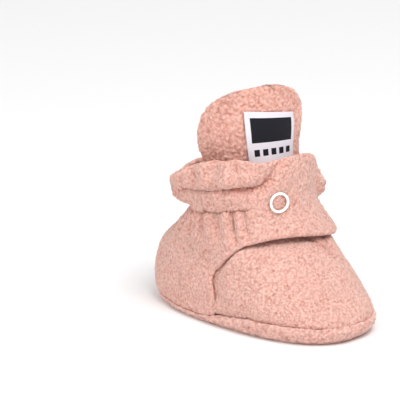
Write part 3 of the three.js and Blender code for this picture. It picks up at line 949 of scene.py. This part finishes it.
def tongue():
    """The curly pile tongue and its lining."""
    outer = tongue_panel("tongue_pile", FLEECE / 2, FLEECE, 0, STEP, TEDDY_PILE, 71, plump=1.0)
    dress(outer, TEDDY_LOOK, "teddy", "tongue")
    behind = LAYER - LINING / 2 + 0.9
    inner = tongue_panel("tongue_backing", behind, LINING, 1.5, LINING_STEP, KNIT_PILE, 72, plump=0)
    dress(inner, LINING_LOOK, "lining", "tongue_lining")
    for piece in (outer, inner):
        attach(piece, "tongue_body")


def label_look():
    """Woven satin: a pale ground with a charcoal block and a row of squares under it."""
    n = Nodes("woven_label")
    height = n.attribute("label_v")
    width = n.attribute("label_u")

    def maths(operation, a, b=0.0):
        """One sum, of numbers or sockets."""
        node = n.add("ShaderNodeMath", operation=operation)
        for socket, value in zip(node.inputs, (a, b)):
            if isinstance(value, float):
                socket.default_value = value
            else:
                n.link(value, socket)
        return node.outputs[0]

    def within(value, middle, reach):
        """1 where the value is within reach of middle, and 0 elsewhere."""
        return maths("LESS_THAN", maths("ABSOLUTE", maths("SUBTRACT", value, middle)), reach)

    inside = within(width, 0.5, 0.41)
    squares = maths("LESS_THAN", maths("PINGPONG", maths("SUBTRACT", width, 0.008), 0.082), 0.052)
    squares = maths("MULTIPLY", squares, within(height, 0.38, 0.055))
    ink_mask = maths("MAXIMUM", within(height, 0.725, 0.185), squares)
    ink_mask = maths("MULTIPLY", ink_mask, inside)
    weft = n.add("ShaderNodeTexWave", wave_type="BANDS", bands_direction="Z")
    n.put(weft, Scale=900.0, Distortion=0.6, Detail=1.0)
    n.link(n.object_coordinates(), weft.inputs["Vector"])
    ground = n.blend((0.62, 0.58, 0.64), (0.80, 0.765, 0.81), weft.outputs["Color"])
    ink = n.blend((0.004, 0.004, 0.007), (0.014, 0.015, 0.021), weft.outputs["Color"])
    n.link(n.blend(ground, ink, ink_mask), n.shader.inputs["Base Color"])
    n.link(n.bump(weft.outputs["Color"], 0.00012, 0.6), n.shader.inputs["Normal"])
    n.put(n.shader, Roughness=0.75, Sheen_Weight=0.04, Specular_IOR_Level=0.15)
    return n.material


def label():
    """The woven label, sewn flat on the tongue with one lifted edge."""
    spacing = 0.4
    rows, columns = round(34 / spacing), round(28 / spacing)
    u = np.linspace(0, 1, columns)[None, :]
    v = np.linspace(0, 1, rows)[:, None]
    h = mix(LABEL_LOW, LABEL_HIGH - LABEL_DROP * u, v)
    angle = np.broadcast_to(LABEL_ANGLE + LABEL_HALF * mix(-1, 1, u), h.shape)
    u, v = np.broadcast_to(u, h.shape), np.broadcast_to(v, h.shape)
    curl = 0.5 * (1 - smooth(0, 0.18, u)) * smooth(0.1, 0.5, v) + 0.25 * wander(angle, h, 9, 27)
    mid = place(angle, h, tongue_face(h) + 1.0 + 0.5 * smooth(72, 84, h) + curl).reshape(-1, 3)
    faces = grid_faces(rows, columns)
    piece = shell("label_woven", mid, faces, 0.6, (0.8, 0.05), 81)
    for name, values in (("label_u", u), ("label_v", v)):
        paint(piece, name, np.tile(values.ravel(), 2))
    dress(piece, label_look(), "label", "woven_label")
    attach(piece, "tongue_body")


# ---------------------------------------------------------------- snap
def enamel(name, colour, metallic, rough):
    """A smooth moulded or plated face with faint specks of wear."""
    n = Nodes(name)
    specks = n.noise(900, 3)
    worn = n.ramp(specks.outputs["Fac"], [(0.3, tuple(0.93 * c for c in colour)), (0.7, colour)])
    n.link(worn, n.shader.inputs["Base Color"])
    n.link(n.bump(n.noise(300, 2).outputs["Fac"], 0.00005, 0.4), n.shader.inputs["Normal"])
    n.put(n.shader, Roughness=rough, Metallic=metallic, Coat_Weight=0.4, Coat_Roughness=0.15)
    return n.material


def lathe(name, profile):
    """A ring turned about the snap's axis from its closed (radius, offset) profile."""
    segments = 96
    side = unit(np.cross(SNAP_AXIS, [0, 0, 1]))
    up = np.cross(side, SNAP_AXIS)
    turn = np.linspace(0, 2 * np.pi, segments, endpoint=False)
    rays = np.cos(turn)[:, None] * side + np.sin(turn)[:, None] * up
    points = np.concatenate([SNAP_AT + rays * r + SNAP_AXIS * z for r, z in profile])
    count = len(profile)
    faces = []
    for k in range(count):
        a, b = k * segments, ((k + 1) % count) * segments
        for i in range(segments):
            j = (i + 1) % segments
            faces.append([a + i, a + j, b + j, b + i])
    return mesh_object(name, points, faces)


def rounded(inner, outer, low, high, round_by=0.3, steps=4):
    """The outline of a ring's section, whose corners have the radius round_by."""
    corners = [(outer, low, 0), (outer, high, 90), (inner, high, 180), (inner, low, 270)]
    profile = []
    for r, z, start in corners:
        cr = r - round_by if r == outer else r + round_by
        cz = z + round_by if z == low else z - round_by
        for k in range(steps + 1):
            a = math.radians(start - 90 + 90 * k / steps)
            profile.append((cr + round_by * math.cos(a), cz + round_by * math.sin(a)))
    return profile


def snap():
    """The open cap ring and its socket on the flap, and the stud and its back ring on the underlap."""
    white = enamel("snap_enamel", (0.93, 0.90, 0.88), 0.0, 0.32)
    steel = enamel("snap_steel", (0.62, 0.61, 0.59), 1.0, 0.3)
    parts = [
        ("cap_ring", rounded(3.7, 4.95, 0.15, 1.25, 0.5, 6), white, "snap_cap_ring", "wrap_flap_body"),
        ("socket", rounded(2.7, 4.3, -3.0, -1.6), steel, "snap_socket", "wrap_flap_body"),
        ("post_ring", rounded(2.7, 4.3, -6.9, -6.0), steel, "snap_post_ring", "underlap_body"),
    ]
    for name, profile, look, node, body in parts:
        piece = lathe(name, profile)
        dress(piece, look, "snap", node)
        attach(piece, body)
    flange = [(0.01, -4.7), (4.1, -4.7), (4.3, -4.5), (4.3, -4.1), (4.1, -3.9), (2.1, -3.9)]
    post = [(1.75, -3.6), (1.7, -3.1), (1.85, -2.85), (1.6, -2.6), (0.8, -2.5), (0.01, -2.5)]
    piece = lathe("stud", flange + post)
    dress(piece, steel, "snap", "snap_stud")
    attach(piece, "underlap_body")


# ---------------------------------------------------------------- stage
def pale_floor():
    """A wide pale floor, which isn't part of the object."""
    mesh = bpy.data.meshes.new("floor")
    size = 6.0
    corners = [(-size, -size, 0), (size, -size, 0), (size, size, 0), (-size, size, 0)]
    mesh.from_pydata(corners, [], [(0, 1, 2, 3)])
    ground = bpy.data.objects.new("floor", mesh)
    bpy.context.scene.collection.objects.link(ground)
    n = Nodes("floor")
    n.put(n.shader, Base_Color=(0.87, 0.87, 0.87, 1), Roughness=0.8)
    mesh.materials.append(n.material)


def area_light(name, at, size, power):
    """A square soft light that faces the bootie."""
    aim = Vector((0, 0, 0.05))
    lamp = bpy.data.lights.new(name, "AREA")
    lamp.size = size
    lamp.energy = power
    light = bpy.data.objects.new(name, lamp)
    light.location = at
    light.rotation_euler = (aim - Vector(at)).to_track_quat("-Z", "Y").to_euler()
    bpy.context.scene.collection.objects.link(light)


def studio():
    """Soft white light from everywhere, a key from the front and a fill from the near side."""
    world = bpy.data.worlds.new("studio")
    world.use_nodes = True
    background = world.node_tree.nodes["Background"]
    background.inputs["Color"].default_value = (1, 1, 1, 1)
    background.inputs["Strength"].default_value = 0.72
    bpy.context.scene.world = world
    area_light("key", (-0.22, -0.62, 1.1), 0.6, 10.5)
    area_light("fill", (-0.9, -0.1, 0.6), 0.9, 3.5)
    bpy.context.scene.view_settings.view_transform = "Standard"


def camera():
    """A long lens from the front of the near side, looking a little down."""
    azimuth, elevation = math.radians(-47), math.radians(18.5)
    lens, sensor = 1000.0, 36.0
    frame_px, px_per_mm = 400, 2.15
    across, above = -30.0, 52.5  # the middle of the picture from the origin, in millimetres
    ground = Vector((math.sin(azimuth), -math.cos(azimuth), 0))
    right = Vector((math.cos(azimuth), math.sin(azimuth), 0))
    back = ground * math.cos(elevation) + Vector((0, 0, math.sin(elevation)))
    up = back.cross(right)
    distance = frame_px / px_per_mm * MM * lens / sensor
    data = bpy.data.cameras.new("camera")
    data.lens, data.sensor_width = lens, sensor
    eye = bpy.data.objects.new("camera", data)
    eye.location = (right * across + up * above) * MM + back * distance
    eye.rotation_euler = back.to_track_quat("Z", "Y").to_euler()
    bpy.context.scene.collection.objects.link(eye)
    bpy.context.scene.camera = eye


outsole()
insole()
vamp()
right_panels()
left_panels()
elastic_band()
stitches("right_stitches", -1, -WRAP_HINGE + 6, wrap_offset)
stitches("left_stitches", 1, UNDERLAP_HINGE + 6, underlap_offset)
tongue()
label()
snap()
pale_floor()
studio()
camera()
